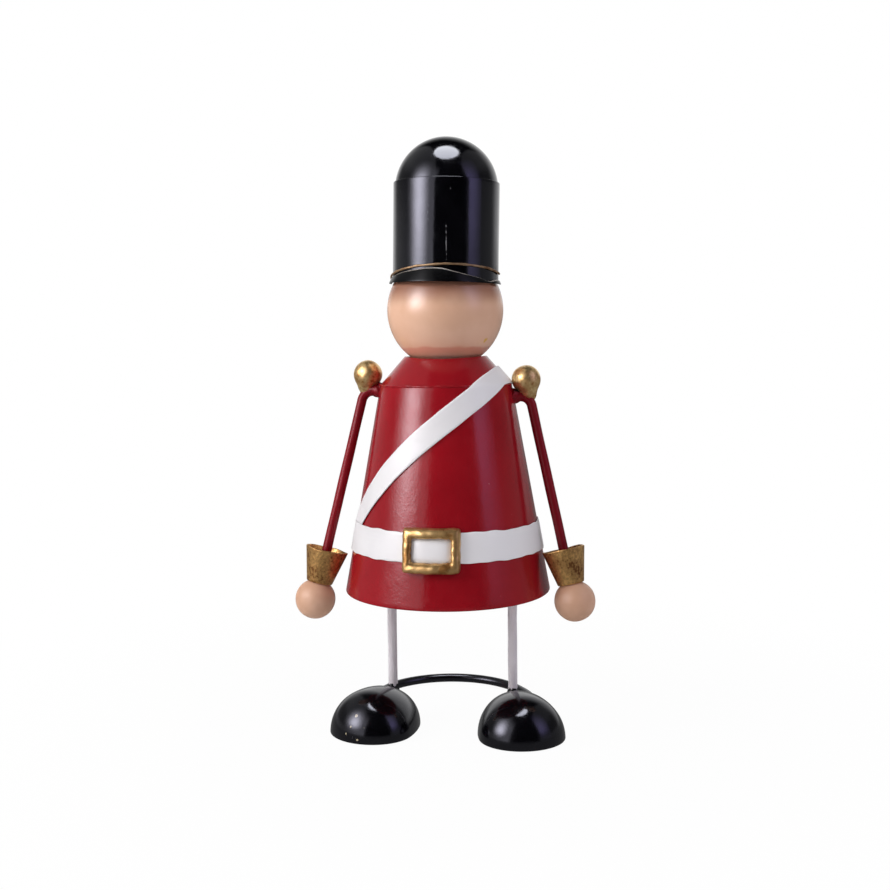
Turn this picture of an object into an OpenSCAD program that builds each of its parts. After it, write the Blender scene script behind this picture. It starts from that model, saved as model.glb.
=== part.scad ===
// Toy guard soldier: an ornament of painted sheet steel, bent wire and turned wooden balls.
// The figure faces -Y and stands on z = 0. Left and right are the figure's own: its left is +X.
// Every piece is welded, pressed or glued to its neighbour, so nothing on it moves.

/* [Sheet and wire] */
// Thickness of the sheet steel
sheet_t = 0.8; // [0.6:0.1:1.2]
// Diameter of the wire in the arms, the legs and the hoop
wire_d = 3.2; // [2.6:0.1:3.8]
// Gap between pieces that seat on each other
fit_gap = 0.1; // [0.05:0.05:0.25]

/* [Coat] */
// Height of the hem above the ground
hem_z = 49; // [43:0.1:55]
// Height of the coat from the hem to the shoulder seam
coat_h = 69; // [62:0.5:76]
// Outer radius at the hem
hem_r = 34.6; // [32:0.1:37]
// Outer radius at the shoulder seam
seam_r = 22; // [20.5:0.1:23.5]

/* [Yoke] */
// Height of the yoke from the seam to the collar
yoke_h = 9.8; // [8.5:0.1:11.5]
// Outer radius of the collar that carries the head
collar_r = 13.5; // [12:0.1:14.5]

/* [Head and hat] */
// Radius of the head
head_r = 19.3; // [18.4:0.1:21]
// Outer radius of the hat tube
hat_r = 17.5; // [16.5:0.1:18.2]
// Thickness of the hat tube's sheet
hat_t = 0.4; // [0.3:0.1:0.8]
// Length of the hat tube
hat_h = 32.2; // [28:0.1:38]
// Depth of the dome's edge inside the hat tube
dome_inset = 2; // [0.8:0.1:3]
// Sideways tilt of the hat, in degrees
hat_tilt = 1.2; // [0:0.1:4]

/* [Visor] */
// Height of the gold cord's ends above the hat's lower rim, on average
visor_foot = 1.7; // [1.4:0.1:3]
// Rise of the cord's arch from its ends to the front
visor_rise = 3.1; // [2:0.1:5]
// Height by which the cord's left end is raised and its right end lowered
visor_skew = 0.8; // [0:0.1:1]
// Greatest drop of the visor's upper edge below the cord, on the figure's left
visor_drop = 4.1; // [3.2:0.1:4.4]
// Drop of the visor's lower edge below the hat's lower rim
visor_lap = 0.7; // [0.5:0.1:1]
// Outward lean of the visor from the hat's side, in degrees
visor_lean = 13; // [5:1:25]
// Thickness of the visor
visor_t = 0.6; // [0.4:0.1:1]
// Diameter of the gold cord above the visor
cord_d = 0.8; // [0.6:0.1:1.2]

/* [Sash] */
// Width of the sash
sash_w = 7.3; // [5:0.1:9]
// Thickness of the sash
sash_t = 0.6; // [0.4:0.1:1]
// Slope of the sash where it crosses the shoulder seam, in degrees
sash_slope = 32.5; // [29:0.5:37]
// Shift of the sash down the coat from the line that passes level over the shoulder
sash_low = 1.2; // [0:0.1:2.5]

/* [Belt and buckle] */
// Height of the belt's lower edge above the hem
belt_rise = 14.5; // [11:0.1:18]
// Width of the belt
belt_w = 9.4; // [8:0.1:12]
// Thickness of the belt
belt_t = 0.4; // [0.3:0.1:0.8]
// Width of the buckle
buckle_w = 18.4; // [15:0.1:22]
// Height of the buckle
buckle_h = 14; // [12:0.1:17]
// Width of the buckle's side bars
buckle_bar = 2.9; // [2.2:0.1:4]
// Height of the buckle's upper and lower rails
buckle_rail = 3.3; // [2.5:0.1:4]
// Thickness of the buckle
buckle_t = 2.2; // [1.5:0.1:3]
// Corner radius of the buckle
buckle_corner_r = 1.2; // [0.6:0.1:2]

/* [Arms] */
// Depth of the arm's stub below the shoulder seam
arm_drop = 2.9; // [1.8:0.1:4]
// Length of the straight stub out of the coat
stub_len = 2.1; // [1.8:0.1:5]
// Radius of the bend at the shoulder, at the middle of the wire
bend_r = 4.2; // [3:0.1:6]
// Length of the arm from the bend to the middle of the hand
arm_len = 67.2; // [58:0.1:76]
// Outward angle of the arm from the coat's side, in degrees
arm_flare = 2.4; // [0.5:0.1:6]
// Forward slant of the arm, in degrees
arm_forward = 7.4; // [0:0.1:14]
// Radius of the weld collar at the coat
weld_r = 2.5; // [2.2:0.1:3]
// Radius of the gold shoulder ball
ball_r = 4.8; // [4:0.1:5.6]
// Depth of the ball's notch over the bend
ball_notch = 0.7; // [0.4:0.1:1.2]

/* [Hands and cuffs] */
// Radius of the hand
hand_r = 6.7; // [5.8:0.1:7.6]
// Outer radius of the cuff at the hand
wrist_r = 4.4; // [3.8:0.1:5]
// Outer radius of the cuff's mouth
cuff_r = 7.1; // [6:0.1:8.2]
// Height of the cuff
cuff_h = 11.6; // [9:0.1:14]
// Thickness of the cuff's sheet
cuff_t = 0.6; // [0.4:0.1:0.9]

/* [Boots and legs] */
// Radius of the boot at its widest, which is also its height
boot_r = 14.6; // [13:0.1:16]
// Length of the blunt toe, in front of the widest section
toe_len = 12.9; // [11.5:0.1:15]
// Length of the tapering heel, behind the widest section
heel_len = 23; // [20.5:0.1:25.5]
// Thickness of the boot's sheet
boot_t = 1; // [0.7:0.1:1.5]
// Outward turn of the toes, in degrees
toe_out = 16; // [8:0.5:22]
// Sideways distance of the widest section from the middle
boot_side = 25.6; // [23:0.1:28]
// Distance of the widest section in front of the coat's axis
boot_front = 6.9; // [4:0.1:9]
// Distance of the leg behind the boot's widest section
leg_back = 16; // [13:0.1:17.5]

/* [Rear hoop] */
// Radius of the hoop at the middle of its wire
hoop_r = 29; // [28.5:0.1:34]
// Distance of the hoop's ends behind the boot's widest section
hoop_back = 16.5; // [13:0.1:17.5]
// Distance of the hoop's ends outside the boot's middle line
hoop_side = 5; // [3:0.1:6]

/* [Hidden] */
$fn = 96;

// Paint
coat_red = [0.66, 0.09, 0.13];
hat_black = [0.06, 0.06, 0.07];
leaf_gold = [0.76, 0.58, 0.26];
strap_white = [0.93, 0.92, 0.93];
leg_white = [0.84, 0.80, 0.84];
skin = [0.86, 0.67, 0.55];

// Coat and yoke: two cones that share the seam
wire_r = wire_d / 2;
seam_z = hem_z + coat_h;
collar_z = seam_z + yoke_h;
coat_slope = atan((hem_r - seam_r) / coat_h);
yoke_slope = atan((seam_r - collar_r) / yoke_h);
coat_wall = sheet_t / cos(coat_slope);
yoke_wall = sheet_t / cos(yoke_slope);
coat_apex_z = seam_z + seam_r / tan(coat_slope);
yoke_apex_z = seam_z + seam_r / tan(yoke_slope);

// Outer radius of the coat at a height
function coat_r(z) = seam_r + (seam_z - z) * tan(coat_slope);

// Outer radius of the yoke at a height
function yoke_r(z) = seam_r - (z - seam_z) * tan(yoke_slope);

// Seats of the head on the collar, the hat on the head and the dome in the hat
head_z = collar_z + sqrt(pow(head_r + fit_gap, 2) - pow(collar_r - yoke_wall, 2));
hat_seat = sqrt(pow(head_r + fit_gap, 2) - pow(hat_r - hat_t, 2));
dome_r = hat_r - hat_t - fit_gap;

// Visor: the angle runs from the front, positive to the figure's left.
// Each pair holds an angle and the share of the greatest drop that the upper edge has there.
visor_half_angle = 86;
visor_steps = 43;
visor_drop_shares = [[-90, 0.24], [3, 0.24], [23, 0.66], [57, 1], [90, 0.5]];
cord_sides = 8;

// Belt and buckle on the coat's cone
skin_gap = fit_gap / cos(coat_slope);
belt_low_z = hem_z + belt_rise;
belt_top_z = belt_low_z + belt_w;
buckle_z = belt_low_z + belt_w / 2;
buckle_seat = 2 * skin_gap + belt_t;
buckle_low_z = buckle_z - buckle_h / 2;

// Sash: a straight flat strip wound on both cones, from the belt over the shoulder to the belt behind.
// Unrolled, each cone is a fan whose centre is the cone's tip, and the strip is a straight band in it.
sash_coat_steps = 20;
sash_yoke_steps = 8;
sash_steps = sash_coat_steps + sash_yoke_steps;
coat_seam_slant = seam_r / sin(coat_slope);
yoke_seam_slant = seam_r / sin(yoke_slope);
sash_end_slant = (coat_apex_z - belt_top_z - fit_gap) / cos(coat_slope);
sash_coat_clear = coat_seam_slant * cos(sash_slope);
sash_yoke_clear = yoke_seam_slant * cos(sash_slope);
sash_seam_turn = sash_slope / sin(yoke_slope);

// The strip is made of flats, which stand off the round steel by what they sag between their corners
sash_coat_len = sqrt(pow(sash_end_slant, 2) - pow(sash_coat_clear, 2)) - coat_seam_slant * sin(sash_slope);
sash_flat = norm([sash_w / 2, sash_coat_len / sash_coat_steps]);
sash_gap = fit_gap + pow(sash_flat, 2) / (8 * seam_r);

// Arm: drawn in the XZ plane from the stub's axis, then leaned forward about that axis
arm_z = seam_z - arm_drop;
arm_root = coat_r(arm_z);
bend_x = arm_root + stub_len;
arm_out = coat_slope + arm_flare;
bend_angle = 90 - arm_out;
ball_lift = sqrt(pow(bend_r + wire_r + ball_r - ball_notch, 2) - pow(bend_r, 2));
weld_end_r = wire_r + fit_gap;
weld_len = bend_x + wire_r / 2 - seam_r + sheet_t;
cuff_seat = sqrt(pow(hand_r + fit_gap, 2) - pow(wrist_r - cuff_t, 2));

// Boot: its spine runs from the toe to the heel on the ground
boot_steps = 32;
leg_x = boot_side - leg_back * sin(toe_out);
leg_y = leg_back * cos(toe_out) - boot_front;
leg_reach = norm([leg_x, leg_y]) + wire_r + fit_gap + coat_wall;
leg_top_z = seam_z - (leg_reach - seam_r) / tan(coat_slope);

// Hoop: its ends lie inside the heels' outline, and it is coped to the boots
hoop_end_x = boot_side - hoop_back * sin(toe_out) + hoop_side * cos(toe_out);
hoop_end_y = hoop_back * cos(toe_out) + hoop_side * sin(toe_out) - boot_front;
hoop_mid_y = hoop_end_y + sqrt(pow(hoop_r, 2) - pow(hoop_end_x, 2));
hoop_wrap = atan2(hoop_mid_y - hoop_end_y, hoop_end_x);

// The origin is on the ground, under the middle of the whole figure
rear_reach = hoop_mid_y + hoop_r + wire_r;
front_reach = max(hem_r, coat_r(buckle_low_z) + buckle_seat + buckle_t);
middle_y = (rear_reach - front_reach) / 2;

// Moves a piece from the coat's axis to the figure's frame
module placed() {
    translate([0, -middle_y, 0]) children();
}

// Makes the figure's left piece, or its mirror image for the right
module sided(side) {
    if (side > 0) {
        placed() children();
    } else {
        placed() mirror([1, 0, 0]) children();
    }
}

// Turns the hat's frame: origin at the middle of the head, so that the rim stays seated as it tilts
module hat_frame() {
    placed() translate([0, 0, head_z]) rotate([0, hat_tilt, 0]) children();
}

// Places the arm's frame on the coat, with X along the stub
module arm_frame() {
    translate([0, 0, arm_z]) rotate([-arm_forward, 0, 0]) children();
}

// Moves to the end of the bend, with -Z along the straight arm
module bend_end() {
    translate([bend_x, 0, -bend_r])
        rotate([0, -arm_out, 0])
        translate([bend_r, 0, 0])
        children();
}

// Moves to the middle of the hand, in the same direction
module hand_frame() {
    arm_frame() bend_end() translate([0, 0, -arm_len]) children();
}

// A closed skin over a row of rings, each a list of the same number of points
module skinned(rings) {
    count = len(rings);
    sides = len(rings[0]);
    points = [for (ring = rings) each ring];
    walls = [
        for (i = [0 : count - 2], j = [0 : sides - 1])
        let (k = (j + 1) % sides, a = i * sides, b = a + sides)
        each [[a + j, a + k, b + k], [a + j, b + k, b + j]]
    ];
    last = (count - 1) * sides;
    caps = [for (j = [1 : sides - 2]) each [[0, j + 1, j], [last, last + j, last + j + 1]]];
    polyhedron(points, concat(walls, caps));
}

// A point on the hat's front: angle from the front, distance from the hat's axis, height above the rim
function hat_point(angle, radius, height) =
    [radius * sin(angle), -radius * cos(angle), hat_seat + height];

function visor_angle(i) = visor_half_angle * (2 * i / visor_steps - 1);

function visor_line(angle) = visor_foot + visor_skew * sin(angle) + visor_rise * cos(angle);

function visor_top(angle) = visor_line(angle) - visor_drop * lookup(angle, visor_drop_shares);

// Cross-section of the visor: a thin plate on the hat's front that leans out towards its lower edge
function visor_ring(angle) =
    let (
        inner = hat_r + fit_gap,
        high = visor_top(angle),
        out = (high + visor_lap) * tan(visor_lean)
    )
    [
        hat_point(angle, inner, high),
        hat_point(angle, inner + visor_t, high),
        hat_point(angle, inner + visor_t + out, -visor_lap),
        hat_point(angle, inner + out, -visor_lap)
    ];

// Cross-section of the cord, which lies on the hat
function cord_ring(angle) =
    [
        for (j = [0 : cord_sides - 1])
        let (turn = -360 * j / cord_sides)
        hat_point(angle, hat_r + fit_gap + cord_d / 2 * (1 + cos(turn)),
            visor_line(angle) + cord_d / 2 * sin(turn))
    ];

// Distance from the seam's tip and turn round the figure, for a point of the strip on the coat.
// The turn starts at the left shoulder; across is positive towards the strip's lower edge.
function sash_coat_place(across, share) =
    let (
        clear = sash_coat_clear + across,
        end_lean = acos(clear / sash_end_slant),
        seam_lean = acos(clear / coat_seam_slant),
        lean = end_lean + (seam_lean - end_lean) * share
    )
    [clear / cos(lean), sash_seam_turn + (lean - sash_slope) / sin(coat_slope)];

// The same on the yoke, where the strip is level over the shoulder
function sash_yoke_place(across, share) =
    let (
        clear = sash_yoke_clear + across,
        lean = acos(clear / yoke_seam_slant) * (1 - share)
    )
    [clear / cos(lean), sash_coat_place(across, 1)[1] * (1 - share)];

// A point of the strip at a step of its length, a place across it and a height off the steel
function sash_point(step, across, off) =
    let (
        on_coat = step <= sash_coat_steps,
        place = on_coat
            ? sash_coat_place(across, step / sash_coat_steps)
            : sash_yoke_place(across, (step - sash_coat_steps) / sash_yoke_steps),
        slope = on_coat ? coat_slope : yoke_slope,
        at_seam = step == sash_coat_steps,
        facing = at_seam ? (coat_slope + yoke_slope) / 2 : slope,
        lift = at_seam ? off / cos((yoke_slope - coat_slope) / 2) : off,
        apex_z = on_coat ? coat_apex_z : yoke_apex_z,
        radius = place[0] * sin(slope) + lift * cos(facing)
    )
    [
        radius * cos(place[1]),
        -radius * sin(place[1]),
        apex_z - place[0] * cos(slope) + lift * sin(facing)
    ];

// Cross-section of the strip: three points on its face and three on its back
function sash_ring(step) =
    let (
        outer = sash_gap + sash_t,
        upper = sash_low - sash_w / 2,
        lower = sash_low + sash_w / 2
    )
    [
        sash_point(step, upper, outer),
        sash_point(step, sash_low, outer),
        sash_point(step, lower, outer),
        sash_point(step, lower, sash_gap),
        sash_point(step, sash_low, sash_gap),
        sash_point(step, upper, sash_gap)
    ];

function behind(ring) = [for (p = ring) [p[0], -p[1], p[2]]];

// Solid cones of the coat and the yoke, grown by a gap, which cope what is welded to them
module coat_core(gap) {
    rotate_extrude() polygon([
        [0, hem_z],
        [hem_r + gap, hem_z],
        [seam_r + gap, seam_z],
        [collar_r + gap, collar_z],
        [0, collar_z]
    ]);
}

// Half outline of the egg that a boot is pressed from, shrunk by a wall or grown by a gap
function egg_outline(grow) =
    [
        for (i = [0 : boot_steps])
        let (
            turn = 180 * i / boot_steps,
            reach = (turn < 90 ? toe_len : heel_len) + grow
        )
        [i % boot_steps == 0 ? 0 : (boot_r + grow) * sin(turn), reach * cos(turn)]
    ];

// The whole egg on its side, with its spine on the ground and its toe to the front
module boot_egg(grow) {
    translate([boot_side, -boot_front, 0])
        rotate([0, 0, toe_out])
        rotate([90, 0, 0])
        rotate_extrude() polygon(egg_outline(grow));
}

module above_ground() {
    span = 2 * (boot_side + boot_r + heel_len);
    translate([-span / 2, -span / 2, 0]) cube([span, span, span]);
}

// The wire of an arm: stub, bend and straight run
module arm_wire(grow) {
    radius = wire_r + grow;
    rotate([0, 90, 0]) cylinder(r = radius, h = bend_x);
    translate([bend_x, 0, -bend_r])
        rotate([90, 0, 0])
        rotate([0, 0, arm_out])
        rotate_extrude(angle = bend_angle)
        translate([bend_r, 0]) circle(r = radius);
    bend_end() translate([0, 0, -arm_len]) cylinder(r = radius, h = arm_len);
}

// The weld that tapers along the stub, from the coat's sheet into the start of the bend
module weld_collar(grow) {
    translate([seam_r - sheet_t, 0, 0])
        rotate([0, 90, 0])
        cylinder(r1 = weld_r + grow, r2 = weld_end_r + grow, h = weld_len + grow);
}

module hat_dome() {
    color(hat_black) hat_frame()
        translate([0, 0, hat_seat + hat_h - dome_inset])
        difference() {
            intersection() {
                sphere(r = dome_r);
                cylinder(r = hat_r, h = hat_r);
            }
            sphere(r = dome_r - sheet_t);
        }
}

module hat_tube() {
    color(hat_black) hat_frame()
        translate([0, 0, hat_seat])
        rotate_extrude()
        translate([hat_r - hat_t, 0]) square([hat_t, hat_h]);
}

module hat_visor() {
    color(hat_black) hat_frame()
        skinned([for (i = [0 : visor_steps]) visor_ring(visor_angle(i))]);
}

module hat_cord() {
    color(leaf_gold) hat_frame()
        skinned([for (i = [0 : visor_steps]) cord_ring(visor_angle(i))]);
}

module head() {
    color(skin) placed() translate([0, 0, head_z]) sphere(r = head_r);
}

module yoke() {
    foot_z = seam_z + fit_gap;
    color(coat_red) placed() rotate_extrude() polygon([
        [yoke_r(foot_z), foot_z],
        [collar_r, collar_z],
        [collar_r - yoke_wall, collar_z],
        [yoke_r(foot_z) - yoke_wall, foot_z]
    ]);
}

module coat() {
    color(coat_red) placed() rotate_extrude() polygon([
        [hem_r, hem_z],
        [seam_r, seam_z],
        [seam_r - coat_wall, seam_z],
        [hem_r - coat_wall, hem_z]
    ]);
}

module sash() {
    front = [for (step = [0 : sash_steps]) sash_ring(step)];
    back = [for (step = [sash_steps - 1 : -1 : 0]) behind(sash_ring(step))];
    color(strap_white) placed() skinned(concat(front, back));
}

module belt() {
    color(strap_white) placed() rotate_extrude() polygon([
        [coat_r(belt_low_z) + skin_gap, belt_low_z],
        [coat_r(belt_low_z) + skin_gap + belt_t, belt_low_z],
        [coat_r(belt_top_z) + skin_gap + belt_t, belt_top_z],
        [coat_r(belt_top_z) + skin_gap, belt_top_z]
    ]);
}

// A rectangle with round corners, about its middle
module rounded_plate(width, height, corner) {
    square([width - 2 * corner, height], center = true);
    square([width, height - 2 * corner], center = true);
    for (x = [-1, 1], y = [-1, 1])
        translate([x * (width / 2 - corner), y * (height / 2 - corner)]) circle(r = corner);
}

module buckle() {
    top_z = buckle_low_z + buckle_h;
    inner_low = coat_r(buckle_low_z) + buckle_seat;
    inner_top = coat_r(top_z) + buckle_seat;
    color(leaf_gold) placed() intersection() {
        rotate_extrude() polygon([
            [inner_low, buckle_low_z],
            [inner_low + buckle_t, buckle_low_z],
            [inner_top + buckle_t, top_z],
            [inner_top, top_z]
        ]);
        translate([0, 0, buckle_z])
            rotate([90, 0, 0])
            linear_extrude(height = front_reach + buckle_t)
            difference() {
                rounded_plate(buckle_w, buckle_h, buckle_corner_r);
                square([buckle_w - 2 * buckle_bar, buckle_h - 2 * buckle_rail], center = true);
            }
    }
}

module shoulder_ball(side) {
    color(leaf_gold) sided(side) arm_frame() difference() {
        bend_end() translate([0, 0, ball_lift]) sphere(r = ball_r);
        arm_wire(fit_gap);
        weld_collar(fit_gap);
    }
}

module arm(side) {
    color(coat_red) sided(side) difference() {
        arm_frame() {
            arm_wire(0);
            weld_collar(0);
        }
        coat_core(skin_gap);
    }
}

module cuff(side) {
    color(leaf_gold) sided(side) hand_frame()
        rotate_extrude() polygon([
            [wrist_r - cuff_t, cuff_seat],
            [wrist_r, cuff_seat],
            [cuff_r, cuff_seat + cuff_h],
            [cuff_r - cuff_t, cuff_seat + cuff_h]
        ]);
}

module hand(side) {
    color(skin) sided(side) hand_frame() difference() {
        sphere(r = hand_r);
        translate([0, 0, -fit_gap]) cylinder(r = wire_r + fit_gap, h = hand_r + cuff_h);
    }
}

module leg(side) {
    color(leg_white) sided(side) difference() {
        translate([leg_x, leg_y, 0]) cylinder(r = wire_r, h = leg_top_z);
        boot_egg(fit_gap);
    }
}

module boot(side) {
    color(hat_black) sided(side) intersection() {
        difference() {
            boot_egg(0);
            boot_egg(-boot_t);
        }
        above_ground();
    }
}

module rear_hoop() {
    color(hat_black) placed() difference() {
        translate([0, hoop_mid_y, wire_r])
            rotate([0, 0, -hoop_wrap])
            rotate_extrude(angle = 180 + 2 * hoop_wrap)
            translate([hoop_r, 0]) circle(r = wire_r);
        boot_egg(fit_gap);
        mirror([1, 0, 0]) boot_egg(fit_gap);
    }
}

hat_dome();
hat_tube();
hat_visor();
hat_cord();
head();
yoke();
coat();
sash();
belt();
buckle();
shoulder_ball(1);  // shoulder_ball_left
shoulder_ball(-1);  // shoulder_ball_right
arm(1);  // arm_left
arm(-1);  // arm_right
cuff(1);  // cuff_left
cuff(-1);  // cuff_right
hand(1);  // hand_left
hand(-1);  // hand_right
leg(1);  // leg_left
leg(-1);  // leg_right
boot(1);  // boot_left
boot(-1);  // boot_right
rear_hoop();
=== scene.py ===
# %% [markdown]
# # A welded toy guard, painted and gilded
#
# The real figure is a shelf ornament: rolled sheet steel, bent wire and turned balls, welded
# together and painted by hand. The CAD model already holds every piece at its right size and place.
# This lesson puts a fine, slightly uneven surface over each CAD solid and gives it its paint.
# The load call must come first, because every later piece is measured from the CAD solids that it brings in.

import bmesh
import bpy
import numpy as np
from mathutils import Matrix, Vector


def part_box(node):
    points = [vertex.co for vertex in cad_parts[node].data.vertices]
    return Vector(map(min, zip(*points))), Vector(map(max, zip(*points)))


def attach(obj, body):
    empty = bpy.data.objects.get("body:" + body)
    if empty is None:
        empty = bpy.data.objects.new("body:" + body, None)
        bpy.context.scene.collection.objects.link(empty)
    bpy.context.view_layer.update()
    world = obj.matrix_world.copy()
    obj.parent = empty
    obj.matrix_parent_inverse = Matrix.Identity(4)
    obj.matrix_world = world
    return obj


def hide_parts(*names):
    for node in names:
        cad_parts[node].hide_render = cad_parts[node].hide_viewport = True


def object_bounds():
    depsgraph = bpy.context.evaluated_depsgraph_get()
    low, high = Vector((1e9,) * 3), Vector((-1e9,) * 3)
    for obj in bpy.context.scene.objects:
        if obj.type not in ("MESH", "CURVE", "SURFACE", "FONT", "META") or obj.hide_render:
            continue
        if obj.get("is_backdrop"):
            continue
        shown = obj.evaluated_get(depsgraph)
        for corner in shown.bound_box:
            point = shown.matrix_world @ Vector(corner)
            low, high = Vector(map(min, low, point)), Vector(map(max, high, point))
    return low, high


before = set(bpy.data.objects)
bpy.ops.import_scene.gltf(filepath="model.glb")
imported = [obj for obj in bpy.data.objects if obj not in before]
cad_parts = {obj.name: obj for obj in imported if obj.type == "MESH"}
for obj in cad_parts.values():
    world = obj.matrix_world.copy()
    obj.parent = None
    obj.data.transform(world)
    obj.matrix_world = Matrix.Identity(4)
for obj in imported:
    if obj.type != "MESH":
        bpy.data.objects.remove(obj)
cad_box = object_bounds()

# %% [markdown]
# ## Working in millimetres
#
# Blender works in metres, but a maker thinks of this figure in millimetres. All shapes below are
# worked out in millimetres about the coat's own upright axis, with the figure facing -Y, and only
# the last step turns them into metres in the CAD frame. The coat's box tells where that axis is.

# %% The coat's axis and the main heights
PER_METRE, MICRON = 1000, 1e-6
coat_low, coat_high = (np.array(corner) * PER_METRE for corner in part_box("coat"))
AXIS = np.array([0.0, (coat_low[1] + coat_high[1]) / 2, 0.0])
HEM_Z, SEAM_Z = coat_low[2], coat_high[2]
HEM_R, SEAM_R = (coat_high[0] - coat_low[0]) / 2, 22.0
YOKE_H, COLLAR_R = 9.8, 13.5
SHEET, WIRE_R, FIT_GAP = 0.8, 1.6, 0.1
COAT_SLOPE = np.arctan((HEM_R - SEAM_R) / (SEAM_Z - HEM_Z))
YOKE_SLOPE = np.arctan((SEAM_R - COLLAR_R) / YOKE_H)


def coat_r(z):
    """Outer radius of the coat's cone: the seam's radius plus the drop below it times the slope."""
    return SEAM_R + (SEAM_Z - z) * np.tan(COAT_SLOPE)


print("axis y %.2f mm, hem %.1f, seam %.1f" % (AXIS[1], HEM_Z, SEAM_Z))

# %% [markdown]
# ## From a grid of points to a skin
#
# Nearly all pieces are one idea: a grid of points, one row after another, with a four-sided face
# between neighbours. Numpy works out all points of a piece at once. Where a row shrinks to one
# point, as at the top of a dome, the doubles are merged so that the skin is closed there.


# %% A skin over a grid
SAME_POINT = 1e-7


def show(thing):
    """Puts a new object in the scene."""
    bpy.context.scene.collection.objects.link(thing)


def skin(name, grid, wrap=(True, True), size=(1.0, 1.0)):
    """Faces between neighbours of a grid of points; a wrapped side joins its last line to its first.

    The UV map runs from 0 to size along both sides of the grid.
    """
    grid = np.asarray(grid, dtype=float)
    rows, columns = grid.shape[:2]
    cells = np.array([rows, columns]) - [not wrap[0], not wrap[1]]
    first, second = np.meshgrid(np.arange(cells[0]), np.arange(cells[1]), indexing="ij")
    u = np.stack([first, first + 1, first + 1, first], axis=-1)
    v = np.stack([second, second, second + 1, second + 1], axis=-1)
    mesh = bpy.data.meshes.new(name)
    faces = (u % rows) * columns + v % columns
    mesh.from_pydata(((grid + AXIS) / PER_METRE).reshape(-1, 3), [], faces.reshape(-1, 4).tolist())
    layer = mesh.uv_layers.new(name="UVMap")
    coords = np.stack([u / cells[0] * size[0], v / cells[1] * size[1]], axis=-1)
    layer.data.foreach_set("uv", coords.astype(np.float32).ravel())
    build = bmesh.new()
    build.from_mesh(mesh)
    bmesh.ops.remove_doubles(build, verts=build.verts, dist=SAME_POINT)
    bmesh.ops.recalc_face_normals(build, faces=build.faces)
    build.to_mesh(mesh)
    build.free()
    mesh.shade_smooth()
    piece = bpy.data.objects.new(name, mesh)
    show(piece)
    return piece


def fit(piece, finish, slot, *nodes):
    """Paints a piece, fixes it to the figure's one body and hides the CAD solids that it stands for."""
    piece.data.materials.append(finish)
    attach(piece, "root")
    if nodes:
        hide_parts(*nodes)
    print(piece.name, len(piece.data.polygons), "faces")


def ripple(angle, seed, waves):
    """A smooth closed wander round a circle: a sum of sines with seeded phases, about one high."""
    phase = np.random.default_rng(seed).uniform(0, 2 * np.pi, len(waves))
    return sum(np.sin(k * angle + p) / np.sqrt(len(waves)) for k, p in zip(waves, phase))


# %% [markdown]
# ## Two ways to sweep an outline
#
# Rolled and pressed sheet is an outline carried round an axis. Wire is a circle carried along a
# path. A sheet's outline is its outer line, a second line one thickness behind it, and a half-round
# lip at each end, because a cut edge that is softened by paint catches a thin bright line of light.


# %% Outlines, turned shapes and wires
def circle(steps):
    """Even angles round a circle, from 0."""
    return 2 * np.pi * np.arange(steps) / steps


def blunt(wave, power):
    """A wave with flat crests: its sign times a power below 1 of its size."""
    return np.sign(wave) * np.abs(wave) ** power


def about(angle, radius, height):
    """Points about the upright axis; the angle is 0 in front and grows to the figure's left."""
    return np.stack(np.broadcast_arrays(radius * np.sin(angle), -radius * np.cos(angle), height), axis=-1)


def spun(points, first, second, turn):
    """Points turned in the plane of two axes, from the first axis towards the second one."""
    points = np.array(points, dtype=float)
    a, b = points[..., first].copy(), points[..., second].copy()
    points[..., first] = a * np.cos(turn) - b * np.sin(turn)
    points[..., second] = a * np.sin(turn) + b * np.cos(turn)
    return points


def capped(rings, tips):
    """Rings closed by a point at either end: each tip is repeated for all sides of a ring."""
    first, last = (np.repeat(tip[None, None], rings.shape[1], axis=1) for tip in tips)
    return np.concatenate([first, rings, last])


def sheet_outline(line, thickness, lip=7):
    """Closed outline of a sheet from its outer line (radius, height), given from its foot to its top."""
    line = np.asarray(line, dtype=float)
    along = np.gradient(line, axis=0)
    along /= np.linalg.norm(along, axis=1, keepdims=True)
    inward = np.stack([-along[:, 1], along[:, 0]], axis=1)
    turn = np.linspace(0, np.pi, lip + 2)[1:-1, None]
    half = thickness / 2
    top = line[-1] + inward[-1] * half * (1 - np.cos(turn)) + along[-1] * half * np.sin(turn)
    foot = line[0] + inward[0] * half * (1 + np.cos(turn)) - along[0] * half * np.sin(turn)
    return np.concatenate([line, top, (line + inward * thickness)[::-1], foot])


def turned(outline, steps, wander=None):
    """Carries an outline (radius, height) round the axis.

    wander(angle, radius, height) may return the two with the hand-made unevenness added.
    """
    angle = circle(steps)[:, None]
    radius, height = outline[None, :, 0], outline[None, :, 1]
    if wander:
        radius, height = wander(angle, radius, height)
    return about(angle, radius, height)


def wire(path, plane, radius, sides=32):
    """Circles square to a path that lies in a plane, given by the plane's normal; both ends are closed.

    radius is one number, or an array with a row for each point and a column for each side.
    """
    along = np.gradient(path, axis=0)
    along /= np.linalg.norm(along, axis=1, keepdims=True)
    plane = np.broadcast_to(plane, path.shape)
    across = np.cross(plane, along)
    turn = circle(sides)
    ring = across[:, None] * np.cos(turn)[:, None] + plane[:, None] * np.sin(turn)[:, None]
    radius = np.broadcast_to(radius, (len(path), sides))
    return capped(path[:, None] + ring * radius[..., None], path[[0, -1]])


def shake(points, seed, pitch, amount, sines=5):
    """A smooth wander in space: a few crossed sines of one pitch, times an amount."""
    rng = np.random.default_rng(seed)
    ways = rng.normal(size=(sines, 3))
    ways *= 2 * np.pi / pitch / np.linalg.norm(ways, axis=1, keepdims=True)
    phase = rng.uniform(0, 2 * np.pi, sines)
    return amount * np.sin(points @ ways.T + phase).sum(axis=-1) / np.sqrt(sines)


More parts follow.
